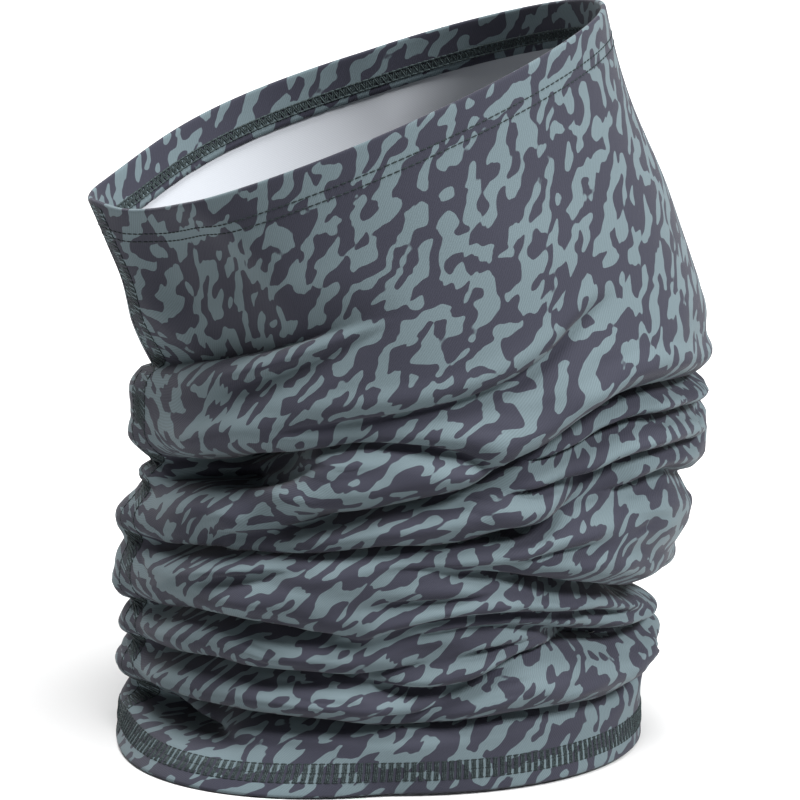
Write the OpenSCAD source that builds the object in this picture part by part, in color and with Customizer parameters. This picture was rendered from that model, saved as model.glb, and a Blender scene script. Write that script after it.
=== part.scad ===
// Neck gaiter: a seamed tube of printed knit cloth, standing slouched in rolls.
// The origin is the middle of the surface it stands on. X is its width, Y its depth, Z up.

/* [Size] */
// Width across the bottom hem
bottom_w = 181; // [150:1:215]
// Depth of the bottom hem, front to back
bottom_d = 152; // [120:1:180]
// Width of the loose rolls where they are widest
belly_w = 200; // [165:1:240]
// Depth of the loose rolls, front to back
belly_d = 164; // [130:1:195]
// Length of the top opening, along its own slope
top_w = 191; // [160:1:225]
// Depth of the top opening, front to back
top_d = 146; // [110:1:175]
// Height of the rim at its low left end
left_h = 187; // [155:1:225]
// Height of the rim at its high right end
right_h = 256; // [210:1:310]
// How far the rolls lean to the right of the bottom hem
belly_lean = 13; // [0:1:20]
// How far the top opening leans to the left of the bottom hem
top_lean = 12; // [0:1:20]

/* [Cloth] */
// Thickness of one layer of cloth
cloth_t = 1.2; // [0.8:0.1:2]
// Turned-in cloth left past the top hem's last needle line
top_hem_edge = 2.8; // [1:0.1:8]
// Turned-in cloth left past the bottom hem's last needle line
bottom_hem_edge = 1.6; // [1:0.1:8]

/* [Rolls] */
// Number of rolls stacked between the two hems
roll_count = 7; // [4:1:9]
// How far a roll stands out at the left side
roll_depth_left = 7; // [2:0.5:9]
// How far a roll stands out at the right side
roll_depth_right = 4; // [1:0.5:6]

/* [Stitching] */
// Width of one line of needle thread
thread_w = 0.9; // [0.6:0.1:1.2]
// Thickness of a thread lying on the cloth
thread_t = 0.4; // [0.3:0.05:0.6]
// Spacing between two neighbouring needle lines
needle_gauge = 3.2; // [2.4:0.1:4]
// Distance from the rim to the top hem's first needle line
top_needle_inset = 10; // [6:0.5:14]
// Distance from the bottom fold to the bottom hem's first needle line
bottom_needle_inset = 5; // [3:0.1:8]
// Width of the side seam's ladder of stitches
seam_w = 6.4; // [5:0.1:8]
// Angle round the tube from the right end to the side seam, seen from above
seam_angle = 186; // [170:1:190]

/* [Hidden] */

// Clearance between layers that lie on each other
lay_gap = 0.05;
// Columns of the surface round the tube, and rings of it up each roll
columns_round = 52;
rings_per_roll = 4;

cloth_colour = [0.28, 0.27, 0.31];
thread_colour = [0.18, 0.24, 0.23];

// How far the turned-in edges reach from their folds
top_hem_depth = top_needle_inset + needle_gauge + top_hem_edge;
bottom_hem_depth = bottom_needle_inset + 2 * needle_gauge + bottom_hem_edge;

// Slope of the top opening, and half its plan width
rim_rise = right_h - left_h;
rim_half_w = sqrt(top_w * top_w - rim_rise * rim_rise) / 2;
rim_slope = rim_rise / (2 * rim_half_w);
along_rim = sqrt(1 + rim_slope * rim_slope);

// ---- the tube's outer surface ----

function mix(a, b, f) = a + (b - a) * f;
function smooth(f) = f * f * (3 - 2 * f);
// Rises from the bottom hem (0) to the rolls (1 at 0.35 to 0.6), then on to the rim
function rolls_share(v) = v < 0.35 ? smooth(v / 0.35) : v < 0.6 ? 1 : 1 - smooth((v - 0.6) / 0.4);
function rim_share(v) = v < 0.6 ? 0 : smooth((v - 0.6) / 0.4);
function blend(bottom, rolls, rim, v) =
    bottom * (1 - rolls_share(v) - rim_share(v)) + rolls * rolls_share(v) + rim * rim_share(v);

// 1 at the right end of the tube, 0 at the left end
function rightness(angle) = (1 + cos(angle)) / 2;
function rim_height(angle) = mix(left_h, right_h, rightness(angle));

// A level is [kind, amount]: height above the base, share of the way between the hems,
// or distance below the rim
BASE = 0;
ROLLS = 1;
RIM = 2;
roll_rings = roll_count * rings_per_roll;
base_levels = [0, for (line = [0:2], side = [-1, 1])
                      bottom_needle_inset + line * needle_gauge + side * thread_w / 2,
               bottom_hem_depth];
rim_levels = [top_hem_depth, for (line = [1:-1:0], side = [1, -1])
                                 top_needle_inset + line * needle_gauge + side * thread_w / 2,
              0];
levels = [for (h = base_levels) [BASE, h],
          for (i = [1:roll_rings - 1]) [ROLLS, i / roll_rings],
          for (d = rim_levels) [RIM, d]];

function level_height(level, angle) =
    level[0] == BASE ? level[1]
    : level[0] == RIM ? rim_height(angle) - level[1] * along_rim
    : mix(bottom_hem_depth, rim_height(angle) - top_hem_depth * along_rim, level[1]);

// Rounded rolls with sharp valleys between them, deepest at the left, gone near the rim
function roll_depth(angle) = mix(roll_depth_left, roll_depth_right, rightness(angle));
function roll_out(level, angle) =
    level[0] != ROLLS ? 0
    : roll_depth(angle) * abs(sin(180 * roll_count * level[1])) * (1 - smooth(level[1]));

function surface_point(level, angle) =
    let (z = level_height(level, angle),
         v = max(0, (z - bottom_hem_depth) / (rim_height(angle) - bottom_hem_depth)),
         out = roll_out(level, angle))
    [blend(0, belly_lean, -top_lean, v)
         + (blend(bottom_w / 2, belly_w / 2, rim_half_w, v) + out) * cos(angle),
     (blend(bottom_d, belly_d, top_d, v) / 2 + out) * sin(angle),
     z];

// The columns: the side seam's two needle lines have one at each edge
seam_half = asin(seam_w / bottom_d);
seam_line = 2 * asin(thread_w / bottom_d);
seam_columns = [seam_angle - seam_half, seam_angle - seam_half + seam_line,
                seam_angle + seam_half - seam_line, seam_angle + seam_half];
around = 360 - 2 * seam_half;
angles = [for (a = seam_columns) a,
          for (i = [1:columns_round - 1]) seam_angle + seam_half + i * around / columns_round];
ring_count = len(levels);
column_count = len(angles);

raw_surface = [for (level = levels) [for (angle = angles) surface_point(level, angle)]];
all_x = [for (ring = raw_surface, point = ring) point[0]];
middle_x = (max(all_x) + min(all_x)) / 2;
surface = [for (ring = raw_surface) [for (point = ring) point - [middle_x, 0, 0]]];

function unit(vector) = vector / norm(vector);
function column(j) = (j + column_count) % column_count;
function outward(k, j) =
    let (along = surface[k][column(j + 1)] - surface[k][column(j - 1)],
         up = surface[min(k + 1, ring_count - 1)][j] - surface[max(k - 1, 0)][j])
    unit(cross(along, up));
normals = [for (k = [0:ring_count - 1]) [for (j = [0:column_count - 1]) outward(k, j)]];

// ---- layers laid on that surface ----

// A closed layer over rings k0..k1 and columns j0..j1, from depth inner to depth outer,
// both counted outwards from the tube's outer surface
module layer(k0, k1, inner, outer, j0 = 0, j1 = -1) {
    whole = j1 < 0;
    cols = whole ? column_count : j1 - j0 + 1;
    rows = k1 - k0 + 1;
    steps = whole ? cols : cols - 1;
    side = rows * cols;
    points = [for (depth = [outer, inner], k = [k0:k1], j = [j0:j0 + cols - 1])
                  surface[k][column(j)] + normals[k][column(j)] * depth];
    function at(shell, k, j) = shell * side + k * cols + (j % cols);
    function face_pair(a, b, c, d) = [[a, c, b], [a, d, c]];
    skins = [for (k = [0:rows - 2], j = [0:steps - 1])
                 each concat(face_pair(at(0, k, j), at(0, k, j + 1), at(0, k + 1, j + 1), at(0, k + 1, j)),
                             [[at(1, k, j), at(1, k, j + 1), at(1, k + 1, j + 1)],
                              [at(1, k, j), at(1, k + 1, j + 1), at(1, k + 1, j)]])];
    rims = [for (j = [0:steps - 1])
                each concat(face_pair(at(0, 0, j), at(1, 0, j), at(1, 0, j + 1), at(0, 0, j + 1)),
                            face_pair(at(0, rows - 1, j), at(0, rows - 1, j + 1),
                                      at(1, rows - 1, j + 1), at(1, rows - 1, j)))];
    ends = whole ? [] : [for (k = [0:rows - 2])
                each concat(face_pair(at(0, k, 0), at(0, k + 1, 0), at(1, k + 1, 0), at(1, k, 0)),
                            face_pair(at(0, k, steps), at(1, k, steps),
                                      at(1, k + 1, steps), at(0, k + 1, steps)))];
    polyhedron(points = points, faces = concat(skins, rims, ends));
}

// Where each layer lies
on_cloth = lay_gap;
under_cloth = -cloth_t - lay_gap;
under_turn_in = under_cloth - cloth_t - lay_gap;

// Rings at the two edges of each needle line, and at the hems' inner edges
function base_line_ring(line) = 1 + 2 * line;
base_hem_ring = len(base_levels) - 1;
rim_hem_ring = ring_count - len(rim_levels);
function rim_line_ring(line) = ring_count - 3 - 2 * line;

module needle_line(ring) layer(ring, ring + 1, on_cloth, on_cloth + thread_t);

// Stretches of the side seam that no hem thread crosses, each [first ring, last ring]
open_spans = [[0, base_line_ring(0)],
              [base_line_ring(2) + 1, rim_line_ring(1)],
              [rim_line_ring(1) + 1, rim_line_ring(0)],
              [rim_line_ring(0) + 1, ring_count - 1]];
module seam_strip(first_column, last_column)
    for (span = open_spans)
        layer(span[0], span[1], on_cloth, on_cloth + thread_t, first_column, last_column);

// ---- the pieces ----

module fabric_tube() {
    color(cloth_colour) layer(0, ring_count - 1, -cloth_t, 0);
}

module top_hem_turn_in() {
    color(cloth_colour) layer(rim_hem_ring, ring_count - 1, under_cloth - cloth_t, under_cloth);
}

module bottom_hem_turn_in() {
    color(cloth_colour) layer(0, base_hem_ring, under_cloth - cloth_t, under_cloth);
}

module top_hem_needle_thread_upper() {
    color(thread_colour) needle_line(rim_line_ring(0));
}

module top_hem_needle_thread_lower() {
    color(thread_colour) needle_line(rim_line_ring(1));
}

// The looper's zigzag spans both needle lines, inside
module top_hem_looper_thread() {
    color(thread_colour)
        layer(rim_line_ring(1), rim_line_ring(0) + 1, under_turn_in - thread_t, under_turn_in);
}

module bottom_hem_needle_thread_upper() {
    color(thread_colour) needle_line(base_line_ring(2));
}

module bottom_hem_needle_thread_middle() {
    color(thread_colour) needle_line(base_line_ring(1));
}

module bottom_hem_needle_thread_lower() {
    color(thread_colour) needle_line(base_line_ring(0));
}

// The ladder's rungs run between the needle lines, outside
module bottom_hem_cover_thread() {
    color(thread_colour)
        for (line = [0:1])
            layer(base_line_ring(line) + 1, base_line_ring(line + 1), on_cloth, on_cloth + thread_t);
}

module bottom_hem_looper_thread() {
    color(thread_colour)
        layer(base_line_ring(0), base_line_ring(2) + 1, under_turn_in - thread_t, under_turn_in);
}

module side_seam_needle_thread_front() {
    color(thread_colour) seam_strip(2, 3);
}

module side_seam_needle_thread_back() {
    color(thread_colour) seam_strip(0, 1);
}

module side_seam_cover_thread() {
    color(thread_colour) seam_strip(1, 2);
}

// Inside, between the two turned-in edges
module side_seam_looper_thread() {
    color(thread_colour)
        layer(base_hem_ring, rim_hem_ring, under_cloth - thread_t, under_cloth, 0, 3);
}

fabric_tube();
top_hem_turn_in();
bottom_hem_turn_in();
top_hem_needle_thread_upper();
top_hem_needle_thread_lower();
top_hem_looper_thread();
bottom_hem_needle_thread_upper();
bottom_hem_needle_thread_middle();
bottom_hem_needle_thread_lower();
bottom_hem_cover_thread();
bottom_hem_looper_thread();
side_seam_needle_thread_front();
side_seam_needle_thread_back();
side_seam_cover_thread();
side_seam_looper_thread();
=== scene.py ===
"""A neck gaiter: a seamed tube of printed jersey, standing slouched in soft rolls."""
import math

import bpy
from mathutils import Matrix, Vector, geometry, noise


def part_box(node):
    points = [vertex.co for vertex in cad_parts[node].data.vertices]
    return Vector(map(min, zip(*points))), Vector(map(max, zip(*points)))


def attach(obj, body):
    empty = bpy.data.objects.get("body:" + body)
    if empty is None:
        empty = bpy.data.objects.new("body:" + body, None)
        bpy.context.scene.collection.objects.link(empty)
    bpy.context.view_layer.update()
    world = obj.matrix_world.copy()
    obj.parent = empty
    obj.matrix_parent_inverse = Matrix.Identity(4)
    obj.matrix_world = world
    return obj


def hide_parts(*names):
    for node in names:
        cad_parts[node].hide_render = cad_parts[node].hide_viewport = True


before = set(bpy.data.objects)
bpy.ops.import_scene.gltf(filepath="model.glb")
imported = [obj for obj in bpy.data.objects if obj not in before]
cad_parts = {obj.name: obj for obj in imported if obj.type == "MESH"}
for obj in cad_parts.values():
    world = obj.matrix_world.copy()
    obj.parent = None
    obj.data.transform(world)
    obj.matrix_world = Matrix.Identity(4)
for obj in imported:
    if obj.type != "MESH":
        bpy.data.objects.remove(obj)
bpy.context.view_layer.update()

MM = 0.001

# ---------------------------------------------------------------- camera

CAMERA_ELEVATION = math.radians(13.5)
CAMERA_DISTANCE = 1.75
CAMERA_AIM = Vector((0.0, 0.0, 0.118))
CAMERA_LENS = 228.5
CAMERA_SENSOR = 36.0
# How far it sees, in m
CAMERA_SIGHT = 20.0


def make_camera():
    data = bpy.data.cameras.new("studio_camera")
    data.lens = CAMERA_LENS
    data.sensor_width = CAMERA_SENSOR
    data.clip_end = CAMERA_SIGHT
    camera = bpy.data.objects.new("studio_camera", data)
    back = Vector((0.0, -math.cos(CAMERA_ELEVATION), math.sin(CAMERA_ELEVATION)))
    camera.location = CAMERA_AIM + back * CAMERA_DISTANCE
    camera.rotation_mode = "QUATERNION"
    camera.rotation_quaternion = (-back).to_track_quat("-Z", "Y")
    bpy.context.scene.collection.objects.link(camera)
    bpy.context.scene.camera = camera


make_camera()

# ---------------------------------------------------------------- the cloth's sizes
# Lengths are in mm. Angles are in degrees round the tube: 0 and 360 the right, 90 the back, 180
# the left and 270 the front.

RIM_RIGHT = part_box("fabric_tube")[1].z / MM
RIM_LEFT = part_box("side_seam_cover_thread")[1].z / MM
HEM_DEPTH_BOTTOM = 13.0
HEM_DEPTH_TOP = 16.0
# A turned edge is cut this unevenly, either way
RAGGED_EDGE = 0.3
CLOTH_THICKNESS = 0.8
TURNED_EDGE_THICKNESS = 0.75
# The hems are folded over to this radius, at the rim and at the bottom
EDGE_RADIUS = 0.9
ROUND_THE_TUBE = 515.0
SEAM_ANGLE = 187.0

# The rim stands higher at the back, by this, and by more of the next the nearer to the seam
BACK_RISE = 6.0
BACK_TILT = 6.0
# The pinched corner of the rim stands up a little, over this half width in degrees
CORNER_LIFT = 2.5
CORNER_WIDTH = 12.0
# The back is fuller towards the seam, from this share of the height up to the next
BACK_FULLNESS = 8.0
FULL_FROM = 0.6
FULL_ABOVE = 1.0
# The bottom hem spreads at its front left and front right, fading out up to this height
SPREAD_LEFT = 13.0
SPREAD_RIGHT = 2.0
SPREAD_HEIGHT = 16.0

# The cloth's mesh: columns round the tube, and rows at a folded edge, in each hem and between them
COLUMNS = 190
EDGE_ROWS = 4
BOTTOM_ROWS = 9
TOP_ROWS = 11
MIDDLE_ROWS = 225
TURN_IN_ROWS = 10
# Points to a column before its rows are placed
FINE_STEPS = 700
# How many fine steps ahead the cloth is looked at for passing through itself
LOOP_REACH = 60
# How far to either side the cloth's slope is taken, in columns or rows
BESIDE = 0.4

# Every crease's depth, reach below and overhang are scaled by these
FOLD_DEPTH = 1.75
FOLD_REACH_BELOW = 1.45
FOLD_HANG = 1.7
# The share of a roll's side over which it turns under
LIP_ROUND = 0.62
# How steadily the cloth slopes out from under a lip: 1 straight, more the steeper it starts
TUCK_SLOPE = 1.6
# The share of a roll's side over which it comes out to its full overhang
HANG_RISE = 0.2
# How far a roll's lip swells out, as a share of the depth of the crease under it
ROLL_SWELL = 0.16
# The stiff side seam folds less deeply than the cloth beside it: by this share, over this half
# width in degrees, and most at this angle
SEAM_STIFFNESS = 0.45
SEAM_STIFF_WIDTH = 9.0
SEAM_STIFF_ANGLE = SEAM_ANGLE - 3.0
# Columns over which the stretch of the cloth evens out round the tube, and the share of the way
# between the hems over which it comes in beside each hem
EVEN_OUT = 7
EVEN_FROM_HEM = 0.06
# How many times the rows are evened round the tube
EVEN_ROUND = 2
# The tube is pinched to an edge near the side seam: how far it stands out, as (share of the
# height, mm), over what distance it sinks back in front and behind, how rounded it is, and its
# angle at the bottom and at the rim
PINCH = [(0, 7), (0.07, 8.5), (0.15, 11), (1, 13)]
PINCH_IN_FRONT = 17.0
PINCH_BEHIND = 20.0
PINCH_ROUND = 1.6
PINCH_ANGLE_BOTTOM = 180.5
PINCH_ANGLE_RIM = 184.0

# Small soft folds: how far each kind stands out
BROAD_WAVES = 1.2
ROLLING_FOLDS = 1.9
FINE_FOLDS = 0.8
VALLEYS = 1.8
# A valley runs where the fine folds pass through nothing, this near to it
VALLEY_WIDTH = 0.07
# The noise of each kind: how many times it changes from the tube's middle to its side, and the
# height over which it changes once
BROAD_NOISE = (2.0, 30.0)
ROLLING_NOISE = (3.2, 7.5)
FINE_NOISE = (6.5, 4.2)
PATCH_NOISE = (3.0, 18.0)
PATCH_SHIFT = 7.0 / 3.0
# The small folds fade in over this height above the bottom hem, and fade out below this share of the height
WRINKLES_START = 20.0
WRINKLES_END = 0.66
WRINKLES_FADE = 0.15
# The broad waves fade in over these heights above the bottom and below the top hem
WAVES_START = 40.0
WAVES_END = 30.0

# Stitching
STITCH = 2.4
NEEDLE_GAUGE = 3.2
TOP_NEEDLE_INSET = 10.0
BOTTOM_NEEDLE_INSET = 5.0
SEAM_HALF_WIDTH = 3.2
# The tube's half depth at the seam, which turns a width there into an angle
SEAM_HALF_DEPTH = 78.0
# The middles of the looper threads lie this far inside the cloth's inner face, at the seam, and
# inside the face of a hem's turned edge
SEAM_LOOPER_LIFT = 0.1
HEM_LOOPER_LIFT = 0.12
INSIDE_HEM = -2 * EDGE_RADIUS - HEM_LOOPER_LIFT
# The needle threads: lift off the cloth, width, thickness and spare length past the two ends;
# the rungs, zigzags and chains below are given without their lift
HEM_NEEDLE = (0.06, 0.56, 0.42, -0.25)
SEAM_NEEDLE = (0.08, 0.56, 0.44, -0.2)
# A rung of the ladder round the bottom hem is three wires, the middle one standing prouder
WIRE_PITCH = 0.21
WIRE_LIFT = 0.1
PROUD_WIRE = 0.08
RUNG_SWAY = 0.05
HEM_RUNG = (0.52, 0.5, 0.3)
RUNG_LEAN = 0.04
# The doubled zigzag inside a hem, and the chains along its needle lines
ZIGZAG_OFFSET = 0.28
ZIGZAG = (0.62, 0.5, 0.4)
CHAIN_SINK = 0.2
CHAIN = (0.75, 0.6, 0.3)
SEAM_RUNG = (0.6, 0.5, 0.3)
# The rungs across the seam lean by this many rows
SEAM_LEAN = 0.3

# Outline of the tube, as (share of the height, place in mm)
LEFT_EDGE = [(0, -92), (0.06, -90), (0.14, -88), (0.3, -88), (0.42, -85.5), (0.48, -81),
             (0.55, -79.5), (0.61, -81), (0.7, -79), (0.83, -82), (0.92, -88), (1, -94)]
RIGHT_EDGE = [(0, 84), (0.08, 84.5), (0.145, 91), (0.2, 89), (0.26, 94), (0.33, 102), (0.4, 105),
              (0.46, 107.5), (0.54, 106), (0.6, 104.5), (0.66, 99.5), (0.75, 91.5), (0.84, 82),
              (0.92, 74.5), (1, 69.5)]
HALF_DEPTH = [(0, 75.5), (0.1, 78), (0.3, 82), (0.5, 83), (0.7, 79), (0.85, 75), (1, 73)]


def within(share):
    """A share kept between 0 and 1."""
    return min(1.0, max(0.0, share))


def along(points, where):
    """Smooth value at where, through points of (place, value)."""
    if where <= points[0][0]:
        return points[0][1]
    for i in range(len(points) - 1):
        if where <= points[i + 1][0]:
            x0, y0 = points[i]
            x1, y1 = points[i + 1]
            before = points[max(i - 1, 0)]
            after = points[min(i + 2, len(points) - 1)]
            span = x1 - x0
            t = (where - x0) / span
            slope0 = (y1 - before[1]) / (x1 - before[0]) * span
            slope1 = (after[1] - y0) / (after[0] - x0) * span
            return ((2 * t ** 3 - 3 * t ** 2 + 1) * y0 + (t ** 3 - 2 * t ** 2 + t) * slope0
                    + (3 * t ** 2 - 2 * t ** 3) * y1 + (t ** 3 - t ** 2) * slope1)
    return points[-1][1]


# Each crease: (angle, height, depth) points round the tube, how far its shoulders reach above
# and below, and how far the upper roll hangs over it (below 0: the lower roll stands up over it).
CREASES = [
    # front, mostly from the top down
    ([(140, 122, 0), (165, 128, 4), (182, 131, 6), (200, 137, 6.5), (212, 141, 6.5), (235, 150, 5),
      (250, 158, 3), (268, 166, 0)], 18, 9, -1.5),
    ([(215, 133, 0), (228, 138, 3), (242, 146, 3.5), (255, 155, 2), (266, 163, 0)], 7, 7, 0),
    ([(228, 122, 0), (242, 126, 3), (252, 129, 4), (267, 133, 4), (285, 141, 4.5), (295, 149, 4),
      (305, 160, 2.5), (315, 168, 0)], 10, 9, 1),
    ([(165, 99, 0), (181, 101, 14), (195, 104, 10), (210, 109, 12), (225, 115, 12), (240, 118, 9),
      (252, 121, 6), (267, 121, 4), (278, 117, 4), (288, 112, 0)], 12, 5, 4),
    ([(190, 95, 0), (205, 97, 7), (220, 98, 9), (232, 103, 8), (240, 110, 5),
      (248, 118, 0)], 4, 9, -2.5),
    ([(205, 86, 0), (220, 86, 5), (235, 90, 7), (250, 97, 7), (265, 103, 8), (277, 108, 9),
      (285, 115, 10), (295, 122, 10), (305, 130, 10), (315, 135, 10), (332, 134, 9),
      (350, 131, 7), (370, 128, 4), (390, 124, 0)], 13, 8, 2.5),
    ([(285, 110, 0), (293, 115, 6), (302, 119, 7), (312, 123, 8), (322, 125, 8), (335, 124, 8),
      (355, 121, 6), (375, 118, 0)], 6, 9, 1.5),
    ([(283, 103, 0), (292, 106, 6), (302, 109, 8), (315, 113, 8), (330, 113, 7), (345, 110, 5),
      (358, 107, 0)], 7, 7, 1.5),
    ([(296, 98, 0), (306, 100, 3), (318, 101, 5), (330, 103, 6), (345, 98, 6), (360, 93, 5),
      (380, 90, 4), (400, 88, 0)], 14, 10, 1),
    ([(165, 66, 0), (180, 70, 3), (197, 75, 7), (210, 78, 9), (222, 80, 9), (245, 84, 8),
      (260, 88, 8), (275, 89, 8), (290, 92, 6), (298, 97, 5), (307, 105, 0)], 13, 7, 3),
    ([(255, 80, 0), (267, 80, 2.5), (280, 81, 3), (290, 82, 3), (305, 84, 2.5),
      (315, 84, 0)], 6, 6, 0.5),
    ([(268, 79, 0), (277, 78, 3), (285, 77, 6), (295, 74, 9), (310, 69, 9), (325, 64, 9),
      (340, 60, 9), (360, 55, 11), (380, 51, 6), (400, 48, 0)], 12, 7, 2),
    ([(212, 66, 0), (222, 69, 2.5), (235, 74, 3), (248, 78, 0)], 6, 6, 0),
    ([(150, 44, 0), (168, 46, 5), (182, 49, 6), (200, 54, 8), (212, 57, 8), (230, 58, 7),
      (245, 57, 6), (256, 54, 4), (266, 50, 0)], 13, 8, 3),
    ([(255, 66, 0), (267, 68, 2.5), (280, 69, 2.5), (292, 72, 0)], 6, 6, 0.5),
    ([(258, 54, 0), (268, 58, 3), (278, 62, 4), (292, 62, 5), (305, 60, 5), (322, 56, 5),
      (336, 51, 3), (346, 48, 0)], 6, 6, 0.5),
    ([(262, 54, 0), (272, 56, 3), (287, 58, 4), (300, 56, 6), (312, 52, 8), (327, 48, 10),
      (345, 44, 7), (362, 41, 3), (380, 39, 0)], 6, 8, 1),
    ([(280, 49, 0), (290, 50, 4), (300, 51, 4), (312, 52, 0)], 5, 5, 0.5),
    ([(160, 32, 0), (178, 35, 4), (195, 38, 7), (210, 40, 8), (222, 41, 7), (247, 42, 6),
      (262, 43, 5), (275, 46, 3), (288, 48, 0)], 11, 7, 2.5),
    ([(250, 42, 0), (260, 40, 4), (270, 38, 5), (280, 38, 6), (288, 41, 6), (296, 46, 6),
      (306, 48, 7), (318, 47, 8), (335, 43, 6), (350, 40, 0)], 7, 8, 1.5),
    ([(258, 29, 0), (269, 30, 4), (275, 31, 4), (281, 35, 4), (288, 40, 3), (296, 45, 0)], 5, 7, 1),
    ([(150, 18, 0), (170, 19, 3), (185, 20, 5), (205, 23, 8), (225, 25, 8), (250, 26, 8),
      (265, 25, 8), (282, 26, 8), (298, 27, 7), (312, 26, 5), (327, 24, 5), (345, 27, 8),
      (362, 31, 9), (380, 28, 6), (400, 24, 0)], 10, 6, 2.5),
    ([(178, 15, 0), (188, 16, 5), (200, 16, 8), (212, 15, 7), (225, 14, 4), (238, 13, 0)], 6, 4, 1),
    # back
    ([(20, 120, 0), (40, 122, 6), (70, 118, 8), (100, 112, 8), (130, 110, 6), (155, 108, 0)], 12, 9, 2),
    ([(60, 140, 0), (85, 142, 4), (110, 138, 5), (135, 130, 4), (150, 126, 0)], 10, 8, 1),
    ([(10, 92, 0), (30, 88, 6), (60, 84, 8), (90, 86, 7), (120, 90, 5), (140, 92, 0)], 12, 9, 2.5),
    ([(95, 98, 0), (120, 96, 6), (150, 94, 8), (175, 92, 6), (195, 90, 0)], 11, 8, 2),
    ([(35, 68, 0), (60, 62, 5), (90, 60, 8), (120, 62, 8), (150, 64, 6), (172, 62, 0)], 11, 8, 3),
    ([(15, 44, 0), (40, 42, 6), (70, 38, 8), (100, 40, 7), (130, 42, 6), (155, 40, 0)], 10, 8, 2.5),
    ([(40, 24, 0), (70, 22, 6), (100, 24, 8), (130, 23, 7), (160, 20, 0)], 9, 6, 2),
    ([(70, 160, 0), (95, 166, 3), (120, 164, 3), (140, 158, 0)], 14, 12, 0),
]

# Dents where the cloth falls in: (angle, height, half width in degrees, half height, depth, slope
# in mm per degree)
HOLLOWS = [
    (217, 106, 26, 10, 25, 0.3),
    (288, 91, 11, 5, 8, 0.0),
    (320, 50, 15, 5, 5, -0.2),
    (275, 50, 9, 4, 3.5, 0.1),
    (208, 18, 28, 9, 9, 0.0),
    (216, 168, 26, 32, 7, 0.0),
    (312, 127, 18, 9, 6, 0.4),
    (306, 104, 12, 7, 5, 0.45),
    (240, 95, 22, 6, 5, 0.1),
    (345, 60, 18, 8, 5, 0.0),
    (60, 106, 24, 9, 8, 0.1),
    (120, 74, 22, 8, 7, 0.1),
    (95, 150, 26, 16, 6, 0.2),
]


def hollow_depth(angle, height):
    """How far the cloth falls in at a place, in mm."""
    total = 0.0
    for at_angle, at_height, half_turn, half_height, depth, slope in HOLLOWS:
        turn = (angle - at_angle + 180) % 360 - 180
        rise = height - at_height - slope * turn
        reach = 1 - (turn / half_turn) ** 2 - (rise / half_height) ** 2
        if reach > 0:
            total += depth * reach * reach * (3 - 2 * reach)
    return total


def crease_at(crease, angle):
    """(height, depth, reach above, reach below, overhang) of a crease at an angle, or None."""
    points, above, below, overhang = crease
    first, last = points[0][0], points[-1][0]
    for turned in (angle, angle + 360, angle - 360):
        if first < turned < last:
            height = along([(a, h) for a, h, _ in points], turned)
            depth = max(0.0, along([(a, d) for a, _, d in points], turned))
            deepest = max(d for _, _, d in points)
            beside_seam = (angle - SEAM_STIFF_ANGLE) / SEAM_STIFF_WIDTH
            give = 1 - SEAM_STIFFNESS * math.exp(-beside_seam ** 2)
            return (height, depth * FOLD_DEPTH * give, above, below * FOLD_REACH_BELOW,
                    overhang * FOLD_HANG * depth / deepest)
    return None


def rim_height(angle):
    """How high the rim stands at an angle, in mm."""
    a = math.radians(angle)
    right = (1 + math.cos(a)) / 2
    rise = max(0.0, math.sin(a)) * (BACK_RISE - BACK_TILT * math.cos(a))
    rise += CORNER_LIFT * math.exp(-((angle - PINCH_ANGLE_RIM) / CORNER_WIDTH) ** 2)
    return RIM_LEFT + (RIM_RIGHT - RIM_LEFT) * right + rise


def lip(q):
    """The covering side of a crease: the roll turns under. 1 at the crease, 0 clear of it."""
    return 1 - math.sin(math.pi / 2 * min(1.0, q / LIP_ROUND))


def tuck(q):
    """The covered side of a crease: the cloth slopes gently out from under the lip."""
    return (1 - q) ** TUCK_SLOPE


def hang(q):
    """How the overhang spreads up the roll: none at the crease itself, most at the lip."""
    if q < HANG_RISE:
        return q / HANG_RISE
    return (1 - (q - HANG_RISE) / (1 - HANG_RISE)) ** 2


def fold_noise(kind, x, y, height, tilt=0.0):
    """Noise of one kind of fold at a place round the tube, slanted and shifted by tilt."""
    across, rise = kind
    return noise.noise(Vector((x * across, y * across, height / rise + tilt)))


def wrinkles(angle, height, top):
    """Small soft folds, mostly running round the tube: how far they stand out, in mm."""
    a = math.radians(angle)
    gathered = within((height - HEM_DEPTH_BOTTOM) / WRINKLES_START)
    gathered *= within((top * WRINKLES_END - height) / (top * WRINKLES_FADE))
    smooth = within((top - height - HEM_DEPTH_TOP) / WAVES_END) * within(height / WAVES_START)
    x, y = math.cos(a), math.sin(a)
    broad = fold_noise(BROAD_NOISE, x, y, height)
    rolling = fold_noise(ROLLING_NOISE, x, y, height, 2 * y + 5)
    fine = fold_noise(FINE_NOISE, x, y, height, 9 - 3 * x)
    patches = fold_noise(PATCH_NOISE, x + PATCH_SHIFT, y, height)
    valley = math.exp(-(fine / VALLEY_WIDTH) ** 2) * within(patches * 3 + 0.3)
    small = ROLLING_FOLDS * rolling + FINE_FOLDS * fine - VALLEYS * valley
    return BROAD_WAVES * smooth * broad + gathered * small


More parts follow.
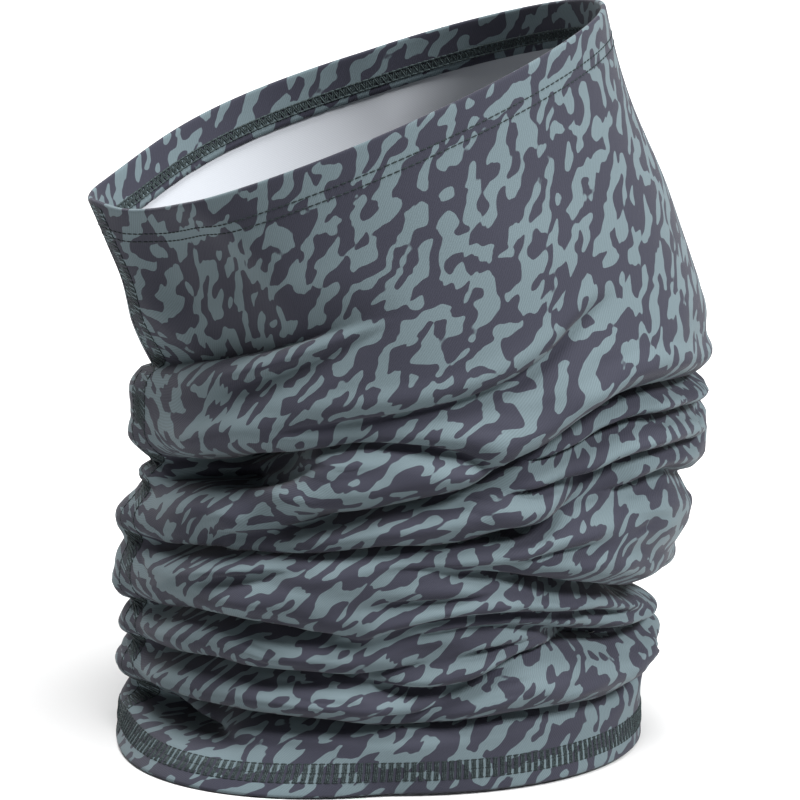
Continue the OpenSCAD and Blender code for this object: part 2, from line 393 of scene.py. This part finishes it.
def cloth_at(angle, height, top, creases):
    """A point of the standing cloth, in mm."""
    share = height / top
    a = math.radians(angle)
    left, right = along(LEFT_EDGE, share), along(RIGHT_EDGE, share)
    mid, half_w, half_d = (left + right) / 2, (right - left) / 2, along(HALF_DEPTH, share)
    inward, sink, swell = 0.0, 0.0, 0.0
    for crease_height, depth, above, below, overhang in creases:
        off = height - crease_height
        if not -below < off < above:
            continue
        upper, q = (True, off / above) if off >= 0 else (False, -off / below)
        covering = upper == (overhang >= 0)
        inward += (depth * (lip(q) if covering else tuck(q))) ** 2
        if covering:
            sink += (-1 if upper else 1) * abs(overhang) * hang(q)
            swell += ROLL_SWELL * depth * math.sin(math.pi * q)
    pinch_angle = PINCH_ANGLE_BOTTOM + (PINCH_ANGLE_RIM - PINCH_ANGLE_BOTTOM) * share
    beside = math.hypot(math.radians(angle - pinch_angle) * half_d, PINCH_ROUND) - PINCH_ROUND
    if angle < pinch_angle:
        fade = math.exp(-0.5 * (beside / PINCH_BEHIND) ** 2)
    else:
        fade = math.exp(-beside / PINCH_IN_FRONT)
    pinch = along(PINCH, share) * fade
    corner = 2 * max(0.0, math.sin(a)) * max(0.0, -math.cos(a))
    corner *= within((share - FULL_FROM) / (FULL_ABOVE - FULL_FROM))
    spread = SPREAD_LEFT if math.cos(a) < 0 else SPREAD_RIGHT
    spread *= 2 * max(0.0, -math.sin(a)) * abs(math.cos(a)) * max(0.0, 1 - height / SPREAD_HEIGHT)
    push = wrinkles(angle, height, top) + swell + pinch + BACK_FULLNESS * corner + spread
    push -= math.sqrt(inward) + hollow_depth(angle, height)
    nx, ny = math.cos(a) / half_w, math.sin(a) / half_d
    length = math.hypot(nx, ny)
    return Vector((mid + half_w * math.cos(a) + push * nx / length,
                   half_d * math.sin(a) + push * ny / length,
                   height + sink))


def cut_loops(points, angle):
    """Where the folded cloth would pass through itself, brings its two layers together instead."""
    a = math.radians(angle)
    outs = [point.x * math.cos(a) + point.y * math.sin(a) for point in points]
    ups = [point.z for point in points]
    i = 0
    while i < len(points) - 3:
        ahead = min(i + LOOP_REACH, len(points) - 1)
        if min(ups[i + 2:ahead + 1]) < max(ups[i], ups[i + 1]):
            here = (Vector((outs[i], ups[i])), Vector((outs[i + 1], ups[i + 1])))
            for j in range(ahead - 1, i + 1, -1):
                there = (Vector((outs[j], ups[j])), Vector((outs[j + 1], ups[j + 1])))
                meet = geometry.intersect_line_line_2d(here[0], here[1], there[0], there[1])
                if meet is None:
                    continue
                t = (meet - here[0]).length / max(1e-9, (here[1] - here[0]).length)
                middle = points[i].lerp(points[i + 1], t)
                for k in range(i + 1, j + 1):
                    points[k] = middle
                i = j
                break
        i += 1


def point_along(points, lengths, wanted):
    """The point at a wanted length along a line of points, whose own lengths are given."""
    low, high = 0, len(lengths) - 1
    while high - low > 1:
        middle = (low + high) // 2
        if lengths[middle] <= wanted:
            low = middle
        else:
            high = middle
    t = (wanted - lengths[low]) / max(1e-9, lengths[high] - lengths[low])
    return points[low].lerp(points[high], within(t))


class Column:
    """One column of the cloth: closely spaced points, with their lengths from the bottom fold."""

    def __init__(self, angle):
        self.angle = angle
        turned = angle % 360
        top = rim_height(turned)
        found = [crease_at(crease, turned) for crease in CREASES]
        creases = [crease for crease in found if crease]
        heights = [top * i / FINE_STEPS for i in range(FINE_STEPS + 1)]
        self.points = [cloth_at(turned, height, top, creases) for height in heights]
        cut_loops(self.points, turned)
        self.lengths = [0.0]
        for a, b in zip(self.points, self.points[1:]):
            self.lengths.append(self.lengths[-1] + (b - a).length)
        self.total = self.lengths[-1]
        middle = self.total - HEM_DEPTH_TOP - HEM_DEPTH_BOTTOM
        self.shares = [(length - HEM_DEPTH_BOTTOM) / middle for length in self.lengths]
        self.even = []

    def at_length(self, wanted):
        """The point at a length up the column from the bottom fold."""
        return point_along(self.points, self.lengths, wanted)

    def at_share(self, wanted):
        """The point at a share of the way between the hems, 0 at the bottom hem, 1 at the top."""
        return point_along(self.points, self.even, wanted)


columns = [Column(SEAM_ANGLE + 360.0 * j / COLUMNS) for j in range(COLUMNS)]
CLOTH_LENGTH = sum(column.total for column in columns) / COLUMNS


def even_out():
    """Spreads each column's stretch over its neighbours, so that the print runs smoothly."""
    weights = [math.exp(-(2.0 * w / EVEN_OUT) ** 2) for w in range(-EVEN_OUT, EVEN_OUT + 1)]
    whole = sum(weights)
    for j, column in enumerate(columns):
        near = [columns[(j + w) % COLUMNS].shares for w in range(-EVEN_OUT, EVEN_OUT + 1)]
        own = column.shares
        for i in range(FINE_STEPS + 1):
            mean = sum(weight * shares[i] for weight, shares in zip(weights, near)) / whole
            # each column keeps its own lengths in the hems
            keep = within(1 - min(own[i], 1 - own[i]) / EVEN_FROM_HEM)
            column.even.append(own[i] * keep + mean * (1 - keep))


even_out()

# Rows of the cloth, as (zone, place): lengths in the hems, shares of the way between them
ROWS = [("bottom", EDGE_RADIUS + (HEM_DEPTH_BOTTOM - EDGE_RADIUS) * i / BOTTOM_ROWS)
        for i in range(BOTTOM_ROWS)]
ROWS += [("middle", i / MIDDLE_ROWS) for i in range(MIDDLE_ROWS)]
ROWS += [("top", HEM_DEPTH_TOP + (EDGE_RADIUS - HEM_DEPTH_TOP) * i / TOP_ROWS)
         for i in range(TOP_ROWS + 1)]


def row_point(column, zone, place):
    """Where a row crosses a column."""
    if zone == "bottom":
        return column.at_length(place)
    if zone == "top":
        return column.at_length(column.total - place)
    return column.at_share(place)


def row_print(zone, place):
    """Where a row lies along the printed cloth, in mm."""
    if zone == "bottom":
        return place
    if zone == "top":
        return CLOTH_LENGTH - place
    return HEM_DEPTH_BOTTOM + place * (CLOTH_LENGTH - HEM_DEPTH_BOTTOM - HEM_DEPTH_TOP)


def evened_round(surface):
    """Evens each row round the tube, so that the folds run smoothly from column to column."""
    return [[(surface[j - 1][i] + 2 * surface[j][i] + surface[(j + 1) % COLUMNS][i]) / 4
             for i in range(len(ROWS))] for j in range(COLUMNS)]


SURFACE = [[row_point(column, *row) for row in ROWS] for column in columns]
for _ in range(EVEN_ROUND):
    SURFACE = evened_round(SURFACE)
ROW_PRINTS = [row_print(*row) for row in ROWS]


def row_from_bottom(length):
    """The row at a length up the bottom hem; it may be a fraction."""
    return (length - EDGE_RADIUS) / (HEM_DEPTH_BOTTOM - EDGE_RADIUS) * BOTTOM_ROWS


def row_below_rim(length):
    """The row at a length down from the rim; it may be a fraction."""
    return len(ROWS) - 1 - (length - EDGE_RADIUS) / (HEM_DEPTH_TOP - EDGE_RADIUS) * TOP_ROWS


def surface_point(across, row):
    """A point on the cloth at a column and a row, either of which may be a fraction."""
    j, i = math.floor(across), min(len(ROWS) - 2, max(0, math.floor(row)))
    s, t = across - j, row - i
    here, there = SURFACE[j % COLUMNS], SURFACE[(j + 1) % COLUMNS]
    return here[i].lerp(here[i + 1], t).lerp(there[i].lerp(there[i + 1], t), s)


def cloth_frame(angle, row):
    """(point, along the cloth upwards, outward) on the cloth's outer face, in mm."""
    across = (angle - SEAM_ANGLE) / 360.0 * COLUMNS
    up = surface_point(across, row + BESIDE) - surface_point(across, row - BESIDE)
    up.normalize()
    round_it = surface_point(across + BESIDE, row) - surface_point(across - BESIDE, row)
    return surface_point(across, row), up, round_it.cross(up).normalized()


# ---------------------------------------------------------------- materials

# The two-tone print, and the white of the cloth's inside
PRINT_DARK = (0.0205, 0.0212, 0.0325, 1)
PRINT_LIGHT = (0.0820, 0.1110, 0.1230, 1)
INSIDE_WHITE = (0.33, 0.345, 0.37, 1)
# The print's blobs: their noise scale, slant and stretch, and how far their outlines wander, in m
BLOB_SCALE = 220.0
BLOB_SLANT = math.radians(42)
BLOB_STRETCH = 1.8
WANDER_SCALE = 110.0
WANDER = 0.005
# The noise values between which the print goes from dark to light
PRINT_EDGE = (0.505, 0.519)
# The knit's slanting wales: their pitch in m, their slant, and how many bands a wave texture of
# scale 1 has to a metre
WALE_PITCH = 0.0007
WALE_SLANT = math.radians(38)
WAVE_BANDS = 3.1831
# How deep the knit's and the threads' relief is, in m
KNIT_RELIEF = 0.00012
THREAD_RELIEF = 0.0001
# Thread colours: the dark one is the thread's own and also stands for painted shade in its hollows; the
# pale one is a painted highlight where its fibres stand up
NEEDLE_DARK, NEEDLE_PAINTED_HIGHLIGHT = (0.004, 0.008, 0.009, 1), (0.016, 0.026, 0.028, 1)
LOOPER_DARK, LOOPER_PAINTED_HIGHLIGHT = (0.007, 0.012, 0.013, 1), (0.050, 0.070, 0.073, 1)


def new_node(tree, kind, **values):
    """A new node, with its settings given by name."""
    node = tree.nodes.new(kind)
    for name, value in values.items():
        setattr(node, name, value)
    return node


def cloth_material(name, printed):
    """Knit jersey, printed or plain white. Its UV map is in metres of cloth."""
    material = bpy.data.materials.new(name)
    material.use_nodes = True
    tree = material.node_tree
    shader = tree.nodes["Principled BSDF"]
    shader.inputs["Roughness"].default_value = 0.8
    shader.inputs["Specular IOR Level"].default_value = 0.2
    shader.inputs["Sheen Weight"].default_value = 0.06
    shader.inputs["Sheen Roughness"].default_value = 0.5
    links = tree.links
    uv = new_node(tree, "ShaderNodeUVMap", uv_map="cloth")
    if printed:
        wander = new_node(tree, "ShaderNodeTexNoise")
        wander.inputs["Scale"].default_value = WANDER_SCALE
        wander.inputs["Detail"].default_value = 0.0
        links.new(uv.outputs[0], wander.inputs["Vector"])
        shift = new_node(tree, "ShaderNodeVectorMath", operation="MULTIPLY_ADD")
        links.new(wander.outputs["Color"], shift.inputs[0])
        shift.inputs[1].default_value = (WANDER, WANDER, 0.0)
        links.new(uv.outputs[0], shift.inputs[2])
        turn = new_node(tree, "ShaderNodeMapping", vector_type="TEXTURE")
        turn.inputs["Rotation"].default_value = (0, 0, BLOB_SLANT)
        turn.inputs["Scale"].default_value = (BLOB_STRETCH, 1.0, 1.0)
        links.new(shift.outputs[0], turn.inputs["Vector"])
        blobs = new_node(tree, "ShaderNodeTexNoise")
        blobs.inputs["Scale"].default_value = BLOB_SCALE
        blobs.inputs["Detail"].default_value = 0.7
        blobs.inputs["Roughness"].default_value = 0.4
        links.new(turn.outputs[0], blobs.inputs["Vector"])
        edge = new_node(tree, "ShaderNodeMapRange", interpolation_type="SMOOTHSTEP")
        edge.inputs["From Min"].default_value = PRINT_EDGE[0]
        edge.inputs["From Max"].default_value = PRINT_EDGE[1]
        links.new(blobs.outputs[0], edge.inputs["Value"])
        tint = new_node(tree, "ShaderNodeMix", data_type="RGBA")
        tint.inputs[6].default_value = PRINT_DARK
        tint.inputs[7].default_value = PRINT_LIGHT
        links.new(edge.outputs[0], tint.inputs[0])
        colour = tint.outputs[2]
    else:
        plain = new_node(tree, "ShaderNodeRGB")
        plain.outputs[0].default_value = INSIDE_WHITE
        colour = plain.outputs[0]
    # the knit's fine slanting wales
    knit_turn = new_node(tree, "ShaderNodeMapping")
    knit_turn.inputs["Rotation"].default_value = (0, 0, WALE_SLANT)
    links.new(uv.outputs[0], knit_turn.inputs["Vector"])
    wales = new_node(tree, "ShaderNodeTexWave", wave_type="BANDS", bands_direction="X")
    wales.inputs["Scale"].default_value = 1.0 / WALE_PITCH / WAVE_BANDS
    wales.inputs["Distortion"].default_value = 1.2
    wales.inputs["Detail"].default_value = 1.0
    wales.inputs["Detail Scale"].default_value = 2.0
    links.new(knit_turn.outputs[0], wales.inputs["Vector"])
    fuzz = new_node(tree, "ShaderNodeTexNoise")
    fuzz.inputs["Scale"].default_value = 900.0
    fuzz.inputs["Detail"].default_value = 3.0
    links.new(uv.outputs[0], fuzz.inputs["Vector"])
    height = new_node(tree, "ShaderNodeMath", operation="ADD")
    links.new(wales.outputs["Fac"], height.inputs[0])
    links.new(fuzz.outputs[0], height.inputs[1])
    bump = new_node(tree, "ShaderNodeBump")
    bump.inputs["Strength"].default_value = 0.35 if printed else 0.12
    bump.inputs["Distance"].default_value = KNIT_RELIEF
    links.new(height.outputs[0], bump.inputs["Height"])
    links.new(bump.outputs[0], shader.inputs["Normal"])
    # the wales vary the colour slightly, as their yarn catches a little light
    shade = new_node(tree, "ShaderNodeMapRange")
    shade.inputs["To Min"].default_value = 0.90 if printed else 0.97
    shade.inputs["To Max"].default_value = 1.08 if printed else 1.02
    links.new(wales.outputs["Fac"], shade.inputs["Value"])
    tone = new_node(tree, "ShaderNodeVectorMath", operation="SCALE")
    links.new(colour, tone.inputs[0])
    links.new(shade.outputs[0], tone.inputs["Scale"])
    links.new(tone.outputs[0], shader.inputs["Base Color"])
    return material


printed_jersey = cloth_material("printed_jersey", True)
white_inside = cloth_material("white_inside", False)


def thread_material(name, dark, pale, fluff):
    """Spun thread in its own dark colour, with painted shade in its hollows and a painted highlight where
    its fibres stand up.
    """
    material = bpy.data.materials.new(name)
    material.use_nodes = True
    tree = material.node_tree
    shader = tree.nodes["Principled BSDF"]
    shader.inputs["Roughness"].default_value = 0.75
    shader.inputs["Specular IOR Level"].default_value = 0.25
    where = new_node(tree, "ShaderNodeTexCoord")
    fibres = new_node(tree, "ShaderNodeTexNoise")
    fibres.inputs["Scale"].default_value = 2600.0
    fibres.inputs["Detail"].default_value = 2.0
    tree.links.new(where.outputs["Object"], fibres.inputs["Vector"])
    # painted shade where the fibre noise is low and a painted highlight where it is high, over the thread's
    # own dark colour
    ramp = new_node(tree, "ShaderNodeValToRGB")
    ramp.color_ramp.elements[0].position = 0.4
    ramp.color_ramp.elements[0].color = dark
    ramp.color_ramp.elements[1].position = 0.75
    ramp.color_ramp.elements[1].color = pale
    tree.links.new(fibres.outputs[0], ramp.inputs[0])
    tree.links.new(ramp.outputs[0], shader.inputs["Base Color"])
    bump = new_node(tree, "ShaderNodeBump")
    bump.inputs["Strength"].default_value = fluff
    bump.inputs["Distance"].default_value = THREAD_RELIEF
    tree.links.new(fibres.outputs[0], bump.inputs["Height"])
    tree.links.new(bump.outputs[0], shader.inputs["Normal"])
    return material


needle_thread = thread_material("needle_thread", NEEDLE_DARK, NEEDLE_PAINTED_HIGHLIGHT, 0.3)
looper_thread = thread_material("looper_thread", LOOPER_DARK, LOOPER_PAINTED_HIGHLIGHT, 0.6)

# ---------------------------------------------------------------- the cloth


def sheet_object(name, grid, prints):
    """A closed band of cloth from columns of points, with a UV map in metres of printed cloth."""
    count, rows = len(grid), len(grid[0])
    faces, corners = [], []
    for j in range(count):
        k = (j + 1) % count
        left, right = ROUND_THE_TUBE * j / count, ROUND_THE_TUBE * (j + 1) / count
        for i in range(rows - 1):
            faces.append((j * rows + i, k * rows + i, k * rows + i + 1, j * rows + i + 1))
            corners += [(left, prints[i]), (right, prints[i])]
            corners += [(right, prints[i + 1]), (left, prints[i + 1])]
    mesh = bpy.data.meshes.new(name)
    mesh.from_pydata([point * MM for column in grid for point in column], [], faces)
    layer = mesh.uv_layers.new(name="cloth")
    for loop, (u, v) in zip(layer.data, corners):
        loop.uv = (u * MM, v * MM)
    obj = bpy.data.objects.new(name, mesh)
    bpy.context.scene.collection.objects.link(obj)
    return obj


def thicken(obj, thickness):
    """Gives a sheet its thickness, printed on the face and white on the back, and applies it."""
    obj.data.materials.append(printed_jersey)
    obj.data.materials.append(white_inside)
    solid = obj.modifiers.new("thickness", "SOLIDIFY")
    solid.thickness = thickness * MM
    solid.offset = -1.0
    solid.thickness_clamp = 1.0
    solid.use_thickness_angle_clamp = True
    solid.material_offset = 1
    solid.material_offset_rim = 0
    bpy.ops.object.select_all(action="DESELECT")
    obj.select_set(True)
    bpy.context.view_layer.objects.active = obj
    bpy.ops.object.modifier_apply(modifier=solid.name)
    bpy.ops.object.shade_smooth()


def round_the_fold(angle, top, turn):
    """A point on the rounded fold at the rim or at the bottom.

    turn goes from 0, outside, through 90, the very edge, to 180, inside.
    """
    point, up, outward = cloth_frame(angle, row_below_rim(EDGE_RADIUS) if top else 0.0)
    if not top:
        up = -up
    t = math.radians(turn)
    return point + up * EDGE_RADIUS * math.sin(t) - outward * EDGE_RADIUS * (1 - math.cos(t))


def edge_length(turn):
    """How far a turn in degrees goes round a folded edge, in mm."""
    return EDGE_RADIUS * math.radians(turn)


EDGE_TURNS = [90.0 * i / EDGE_ROWS for i in range(EDGE_ROWS + 1)]


def tube_of_cloth():
    """The tube itself, from the bottom's folded edge to the rim's."""
    grid = []
    for column, rows in zip(columns, SURFACE):
        points = [round_the_fold(column.angle, False, turn) for turn in reversed(EDGE_TURNS[1:])]
        points += rows
        points += [round_the_fold(column.angle, True, turn) for turn in EDGE_TURNS[1:]]
        grid.append(points)
    below = [EDGE_RADIUS - edge_length(turn) for turn in reversed(EDGE_TURNS[1:])]
    above = [CLOTH_LENGTH - EDGE_RADIUS + edge_length(turn) for turn in EDGE_TURNS[1:]]
    tube = sheet_object("gaiter_cloth", grid, below + ROW_PRINTS + above)
    thicken(tube, CLOTH_THICKNESS)
    return tube


def turned_hem(name, top, depth):
    """The cloth folded in over an edge: it faces inwards, printed side showing."""
    grid = []
    turns = [90.0 + turn for turn in EDGE_TURNS]
    lengths = [edge_length(turn) - EDGE_RADIUS for turn in turns]
    reaches = [EDGE_RADIUS + (depth - EDGE_RADIUS) * i / TURN_IN_ROWS
               for i in range(1, TURN_IN_ROWS + 1)]
    lengths += [reach + 2 * edge_length(90) - 2 * EDGE_RADIUS for reach in reaches]
    for j, column in enumerate(columns):
        points = [round_the_fold(column.angle, top, turn) for turn in turns]
        ragged = RAGGED_EDGE * noise.noise(Vector((j * 0.9, depth, 0.0)))
        for reach in reaches:
            reach += ragged * reach / depth
            row = row_below_rim(reach) if top else row_from_bottom(reach)
            point, up, outward = cloth_frame(column.angle, row)
            points.append(point - outward * 2 * EDGE_RADIUS)
        grid.append(points if top else points[::-1])
    if top:
        prints = [CLOTH_LENGTH + length for length in lengths]
    else:
        prints = [-length for length in reversed(lengths)]
    hem = sheet_object(name, grid, prints)
    thicken(hem, TURNED_EDGE_THICKNESS)
    return hem


gaiter_cloth = tube_of_cloth()
top_turn_in = turned_hem("top_turned_edge", True, HEM_DEPTH_TOP)
bottom_turn_in = turned_hem("bottom_turned_edge", False, HEM_DEPTH_BOTTOM)

# ---------------------------------------------------------------- stitching

# The thread's spindle: its sides, its rings, and how flat its underside is pressed
STRAND_SIDES = 6
STRAND_RINGS = 5
STRAND_UNDERSIDE = 0.7


def make_strand():
    """One short length of thread, modelled once: a spindle one unit long and one unit wide."""
    bpy.ops.object.select_all(action="DESELECT")
    bpy.ops.mesh.primitive_uv_sphere_add(segments=STRAND_SIDES, ring_count=STRAND_RINGS, radius=0.5)
    strand = bpy.context.object
    bpy.ops.object.mode_set(mode="EDIT")
    bpy.ops.mesh.select_all(action="SELECT")
    bpy.ops.transform.rotate(value=math.radians(90), orient_axis="Y", center_override=(0, 0, 0))
    bpy.ops.mesh.select_all(action="DESELECT")
    bpy.ops.object.mode_set(mode="OBJECT")
    # the side that lies on the cloth is pressed flatter
    for vertex in strand.data.vertices:
        vertex.select = vertex.co.z < -0.01
    bpy.ops.object.mode_set(mode="EDIT")
    bpy.ops.transform.resize(value=(1.0, 1.0, STRAND_UNDERSIDE), center_override=(0, 0, 0))
    bpy.ops.object.mode_set(mode="OBJECT")
    shape = [vertex.co.copy() for vertex in strand.data.vertices]
    faces = [tuple(face.vertices) for face in strand.data.polygons]
    bpy.data.objects.remove(strand)
    return shape, faces


STRAND_SHAPE, STRAND_FACES = make_strand()


def thread_piece(name, node, material, strands):
    """A thread of strands, each (middle, lengthwise, outward, length, width, thickness) in mm."""
    vertices, faces = [], []
    for middle, lengthwise, outward, length, width, thickness in strands:
        lengthwise = lengthwise.normalized()
        across = outward.cross(lengthwise).normalized()
        outward = lengthwise.cross(across)
        base = len(vertices)
        for co in STRAND_SHAPE:
            point = (middle + lengthwise * co.x * length + across * co.y * width
                     + outward * co.z * thickness)
            vertices.append(point * MM)
        faces += [tuple(base + i for i in face) for face in STRAND_FACES]
    mesh = bpy.data.meshes.new(name)
    mesh.from_pydata(vertices, [], faces)
    mesh.materials.append(material)
    for face in mesh.polygons:
        face.use_smooth = True
    obj = bpy.data.objects.new(name, mesh)
    bpy.context.scene.collection.objects.link(obj)
    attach(obj, "root")
    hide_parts(node)
    return obj


def hem_frame(angle, top, distance):
    """The cloth's frame at a distance from the rim or from the bottom fold."""
    return cloth_frame(angle, row_below_rim(distance) if top else row_from_bottom(distance))


HEM_STITCHES = int(ROUND_THE_TUBE / STITCH)


def strand_between(a, b, lift, width, thickness, spare):
    """A strand between two places on the cloth, each given as (point, up, outward).

    spare is how far it reaches past them in all; below 0 it stops short of them.
    """
    outward = (a[2] + b[2]).normalized()
    run = b[0] - a[0]
    return (a[0] + b[0]) / 2 + outward * lift, run, outward, run.length + spare, width, thickness


def hem_needle_line(top, distance):
    """Straight stitches round a hem, each tapering down to the cloth at its two ends."""
    strands = []
    turn = 360.0 / HEM_STITCHES
    for i in range(HEM_STITCHES):
        start = SEAM_ANGLE + i * turn
        a, b = hem_frame(start, top, distance), hem_frame(start + turn, top, distance)
        strands.append(strand_between(a, b, *HEM_NEEDLE))
    return strands


def hem_ladder(first, second, lean):
    """Rungs of cover thread round the bottom hem between two needle lines, three wires to a rung."""
    strands = []
    turn = 360.0 / HEM_STITCHES
    for i in range(HEM_STITCHES):
        for wire in (-1, 0, 1):
            place = SEAM_ANGLE + (i + 0.5 + WIRE_PITCH * wire) * turn
            sway = (lean + RUNG_SWAY * noise.noise(Vector((i * 1.7, wire * 2.3, first)))) * turn
            a, b = hem_frame(place - sway, False, first), hem_frame(place + sway, False, second)
            lift = WIRE_LIFT + PROUD_WIRE * (wire == 0)
            strands.append(strand_between(a, b, lift, *HEM_RUNG))
    return strands


def inner_zigzag(top, first, second):
    """Looper thread inside a hem: it crosses doubled between two needle lines and chains along."""
    strands = []
    turn = 360.0 / HEM_STITCHES
    for i in range(HEM_STITCHES):
        start = SEAM_ANGLE + i * turn
        for offset in (0.0, ZIGZAG_OFFSET):
            for near, far, begin in ((first, second, 0.0), (second, first, 0.5)):
                a = hem_frame(start + (begin + offset) * turn, top, near)
                b = hem_frame(start + (begin + offset + 0.5) * turn, top, far)
                strands.append(strand_between(a, b, INSIDE_HEM - offset / 3, *ZIGZAG))
        for line in (first, second):
            a, b = hem_frame(start, top, line), hem_frame(start + turn, top, line)
            strands.append(strand_between(a, b, INSIDE_HEM - CHAIN_SINK, *CHAIN))
    return strands


top_first, top_second = TOP_NEEDLE_INSET, TOP_NEEDLE_INSET + NEEDLE_GAUGE
low_line = BOTTOM_NEEDLE_INSET
mid_line = low_line + NEEDLE_GAUGE
high_line = mid_line + NEEDLE_GAUGE

threads = [
    thread_piece("top_needle_thread_upper", "top_hem_needle_thread_upper", needle_thread,
                 hem_needle_line(True, top_first)),
    thread_piece("top_needle_thread_lower", "top_hem_needle_thread_lower", needle_thread,
                 hem_needle_line(True, top_second)),
    thread_piece("top_looper_thread", "top_hem_looper_thread", looper_thread,
                 inner_zigzag(True, top_first, top_second)),
    thread_piece("bottom_needle_thread_lower", "bottom_hem_needle_thread_lower", needle_thread,
                 hem_needle_line(False, low_line)),
    thread_piece("bottom_needle_thread_middle", "bottom_hem_needle_thread_middle", needle_thread,
                 hem_needle_line(False, mid_line)),
    thread_piece("bottom_needle_thread_upper", "bottom_hem_needle_thread_upper", needle_thread,
                 hem_needle_line(False, high_line)),
    thread_piece("bottom_cover_thread", "bottom_hem_cover_thread", looper_thread,
                 hem_ladder(low_line, mid_line, RUNG_LEAN)
                 + hem_ladder(mid_line, high_line, -RUNG_LEAN)),
    thread_piece("bottom_looper_thread", "bottom_hem_looper_thread", looper_thread,
                 inner_zigzag(False, low_line, mid_line) + inner_zigzag(False, mid_line, high_line)),
]

SEAM_TURN = math.degrees(SEAM_HALF_WIDTH / SEAM_HALF_DEPTH)


def seam_rows(pitch):
    """Rows at which stitches come, evenly spaced along the seam from the bottom to the rim."""
    seam = SURFACE[0]
    rows, travelled, wanted = [], 0.0, 0.5 * pitch
    for i in range(len(seam) - 1):
        step = (seam[i + 1] - seam[i]).length
        while travelled + step > wanted:
            rows.append(i + (wanted - travelled) / step)
            wanted += pitch
        travelled += step
    return rows


def seam_needle_line(side):
    """Straight stitches up one edge of the seam: side is 1 in front, -1 behind."""
    angle = SEAM_ANGLE + side * SEAM_TURN
    places = [cloth_frame(angle, row) for row in seam_rows(STITCH)]
    return [strand_between(a, b, *SEAM_NEEDLE) for a, b in zip(places, places[1:])]


def seam_ladder(lift, pitch):
    """Rungs across the seam, leaning by turns up and down."""
    strands = []
    lean = SEAM_LEAN
    for row in seam_rows(pitch)[1:-1]:
        a = cloth_frame(SEAM_ANGLE - SEAM_TURN, row - lean)
        b = cloth_frame(SEAM_ANGLE + SEAM_TURN, row + lean)
        strands.append(strand_between(a, b, lift, *SEAM_RUNG))
        lean = -lean
    return strands


threads += [
    thread_piece("seam_needle_thread_front", "side_seam_needle_thread_front", needle_thread,
                 seam_needle_line(1)),
    thread_piece("seam_needle_thread_back", "side_seam_needle_thread_back", needle_thread,
                 seam_needle_line(-1)),
    thread_piece("seam_cover_thread", "side_seam_cover_thread", looper_thread,
                 seam_ladder(WIRE_LIFT, STITCH / 3)),
    thread_piece("seam_looper_thread", "side_seam_looper_thread", looper_thread,
                 seam_ladder(-CLOTH_THICKNESS - SEAM_LOOPER_LIFT, STITCH / 2)),
]

for piece, node in ((gaiter_cloth, "fabric_tube"), (top_turn_in, "top_hem_turn_in"),
                    (bottom_turn_in, "bottom_hem_turn_in")):
    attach(piece, "root")
    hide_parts(node)

# ---------------------------------------------------------------- floor and light

FLOOR_SIZE = 12.0
FLOOR_DROP = 0.001
FLOOR_GREY = (0.5, 0.5, 0.5, 1)
WORLD_COLOUR = (0.95, 0.97, 1.0, 1)
WORLD_STRENGTH = 0.12
# Each light: the place that it shines from, its softness in degrees and its strength
LIGHTS = {"key_light": ((1.45, -0.95, 1.7), 15, 6.0),
          "top_light": ((0.0, -0.35, 1.8), 25, 5.0),
          "back_light": ((-0.85, 1.4, 1.2), 35, 2.4)}


def make_floor():
    bpy.ops.object.select_all(action="DESELECT")
    bpy.ops.mesh.primitive_plane_add(size=FLOOR_SIZE, location=(0, 0, -FLOOR_DROP))
    floor = bpy.context.object
    floor.name = "floor"
    material = bpy.data.materials.new("pale_floor")
    material.use_nodes = True
    shader = material.node_tree.nodes["Principled BSDF"]
    shader.inputs["Base Color"].default_value = FLOOR_GREY
    shader.inputs["Roughness"].default_value = 0.9
    floor.data.materials.append(material)


def make_light(name, place, softness, strength):
    """Even light from the direction of a place, as from a large soft box far away."""
    data = bpy.data.lights.new(name, "SUN")
    data.angle = math.radians(softness)
    data.energy = strength
    light = bpy.data.objects.new(name, data)
    light.location = place
    light.rotation_mode = "QUATERNION"
    light.rotation_quaternion = (CAMERA_AIM - Vector(place)).to_track_quat("-Z", "Y")
    bpy.context.scene.collection.objects.link(light)


def make_world():
    """The studio's faint even light from all round."""
    world = bpy.data.worlds.new("studio")
    bpy.context.scene.world = world
    world.use_nodes = True
    background = world.node_tree.nodes["Background"]
    background.inputs["Color"].default_value = WORLD_COLOUR
    background.inputs["Strength"].default_value = WORLD_STRENGTH


make_floor()
for light_name, (place, softness, strength) in LIGHTS.items():
    make_light(light_name, place, softness, strength)
make_world()
bpy.context.scene.view_settings.view_transform = "Standard"
